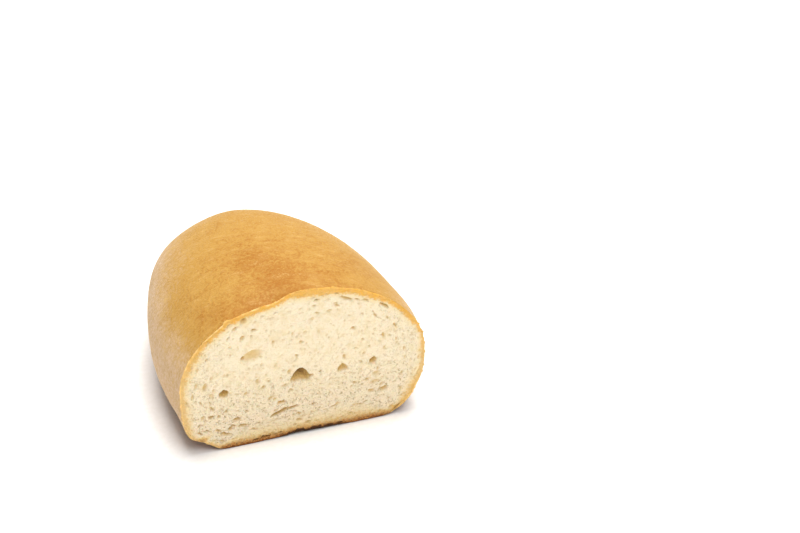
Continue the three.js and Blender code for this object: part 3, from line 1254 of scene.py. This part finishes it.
    def build(self) -> bpy.types.Object:
        """Joins the sheets to one closed mesh.

        Returns:
            The loaf's object, at the origin, with its place in its mesh.
        """
        crust, crust_values = self.crust_sheet()
        cut, cut_values = self.cut_sheet(crust)
        inside = ~self.grid.rim()
        count = inside.size
        crust_index = np.arange(count).reshape(self.grid.shape)
        cut_index = crust_index.copy()
        cut_index[inside] = count + np.arange(inside.sum())
        places = np.concatenate([crust.reshape(-1, 3), cut[inside]]) * METRES
        faces = np.concatenate([self.grid.quads(crust_index)[:, ::-1], self.grid.quads(cut_index)])
        mesh = bpy.data.meshes.new("loaf_skin")
        mesh.from_pydata(places, [], faces)
        slots = np.repeat([Sheet.CRUST.value, Sheet.CUT.value], len(faces) // 2)
        mesh.polygons.foreach_set("material_index", slots.astype(np.int32))
        mesh.polygons.foreach_set("use_smooth", np.ones(len(faces), bool))
        self.sharpen_rim(mesh)
        zero = np.zeros(self.grid.shape)
        for name in crust_values | cut_values:
            on_crust, on_cut = crust_values.get(name, zero), cut_values.get(name, zero)
            values = np.concatenate([np.where(inside, on_crust, on_crust + on_cut).ravel(), on_cut[inside]])
            mesh.attributes.new(name, "FLOAT", "POINT").data.foreach_set("value", values.astype(np.float32))
        loaf = bpy.data.objects.new("bread_loaf", mesh)
        bpy.context.scene.collection.objects.link(loaf)
        return loaf

    def sharpen_rim(self, mesh: bpy.types.Mesh) -> None:
        """Keeps the knife's edge crisp: an edge is sharp if both of its points are on the rim.

        Args:
            mesh: The loaf's mesh, whose first points are the crust's grid.
        """
        ends = np.zeros(len(mesh.edges) * 2, np.int32)
        mesh.edges.foreach_get("vertices", ends)
        on_rim = np.zeros(len(mesh.vertices), bool)
        on_rim[: self.grid.rim().size] = self.grid.rim().ravel()
        mesh.edges.foreach_set("use_edge_sharp", on_rim[ends].reshape(-1, 2).all(axis=1))

    def dress(self, loaf: bpy.types.Object) -> None:
        """Gives the loaf its finishes, in the order of the sheets' slots, and its place in the frame.

        Args:
            loaf: The loaf's object.
        """
        loaf.data.materials.append(BakedCrust().make())
        loaf.data.materials.append(WheatCrumb().make())
        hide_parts("loaf")
        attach(loaf, "root")


@dataclass(frozen=True)
class SoftBox:
    """A square soft box that faces the loaf, by its bearing from +X towards +Y and its rise in degrees."""

    name: str
    bearing: float
    rise: float
    side: float
    watts: float
    away: float = 1600.0

    def build(self) -> None:
        """Makes the lamp and aims it."""
        lamp = bpy.data.lights.new(self.name, "AREA")
        lamp.size, lamp.energy = self.side * METRES, self.watts
        turn, up = math.radians(self.bearing), math.radians(self.rise)
        way = Vector((math.cos(turn) * math.cos(up), math.sin(turn) * math.cos(up), math.sin(up)))
        box = bpy.data.objects.new(self.name, lamp)
        box.location = way * self.away * METRES
        box.rotation_euler = (-way).to_track_quat("-Z", "Y").to_euler()
        bpy.context.scene.collection.objects.link(box)


SOFT_BOXES = (
    SoftBox("top_box", 0.0, 90.0, 800.0, 15.0),
    SoftBox("front_box", 269.0, 52.0, 800.0, 10.4),
    SoftBox("right_box", 38.0, 67.0, 800.0, 13.5),
    SoftBox("back_box", 115.0, 70.0, 800.0, 4.5),
)


@dataclass(frozen=True)
class Studio:
    """A white paper floor under soft light, and a camera that looks down on the cut face from its left."""

    eye: tuple[float, float, float] = (-242.8, -845.3, 541.2)
    heading: float = 20.92
    pitch: float = 28.99
    lens: float = 86.0
    film_width: float = 36.0
    floor_half: float = 4000.0
    sky_strength: float = 0.27

    def build(self) -> None:
        """Makes the floor, the lights and the camera."""
        self.floor()
        self.sky()
        for box in SOFT_BOXES:
            box.build()
        self.camera()
        bpy.context.scene.view_settings.view_transform = "Standard"

    def floor(self) -> None:
        """A flat sheet of paper: the corners of a square at height 0."""
        corner = self.floor_half * METRES
        places = [(-corner, -corner, 0), (corner, -corner, 0), (corner, corner, 0), (-corner, corner, 0)]
        mesh = bpy.data.meshes.new("paper")
        mesh.from_pydata(places, [], [(0, 1, 2, 3)])
        mesh.materials.append(MattPaper().make())
        floor = bpy.data.objects.new("paper_floor", mesh)
        bpy.context.scene.collection.objects.link(floor)

    def sky(self) -> None:
        """Dim white walls and ceiling all round, which fill the shade."""
        world = bpy.data.worlds.new("studio_white")
        world.use_nodes = True
        tree = world.node_tree
        tree.nodes.clear()
        even = {"Color": (1, 1, 1, 1), "Strength": self.sky_strength}
        light = add_node(tree, "Background", "Background", even)
        add_node(tree, "OutputWorld", "", {"Surface": light})
        bpy.context.scene.world = world

    def camera(self) -> None:
        """The camera, level and without shift."""
        data = bpy.data.cameras.new("camera")
        data.lens, data.sensor_width = self.lens, self.film_width
        camera = bpy.data.objects.new("camera", data)
        camera.location = Vector(self.eye) * METRES
        turn, down = math.radians(self.heading), math.radians(self.pitch)
        ahead = Vector((math.sin(turn) * math.cos(down), math.cos(turn) * math.cos(down), -math.sin(down)))
        camera.rotation_euler = ahead.to_track_quat("-Z", "Y").to_euler()
        bpy.context.scene.collection.objects.link(camera)
        bpy.context.scene.camera = camera


def main() -> None:
    """Loads the frame, builds the loaf and the studio, and logs what it built."""
    logging.basicConfig(level=logging.INFO, format="%(message)s")
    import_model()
    half = HalfLoaf(LoafForm.from_frame())
    loaf = half.build()
    half.dress(loaf)
    LOG.info("%s: %d faces", loaf.name, len(loaf.data.polygons))
    Studio().build()
    LOG.info("studio: floor, lights and camera")


if __name__ == "__main__":
    main()
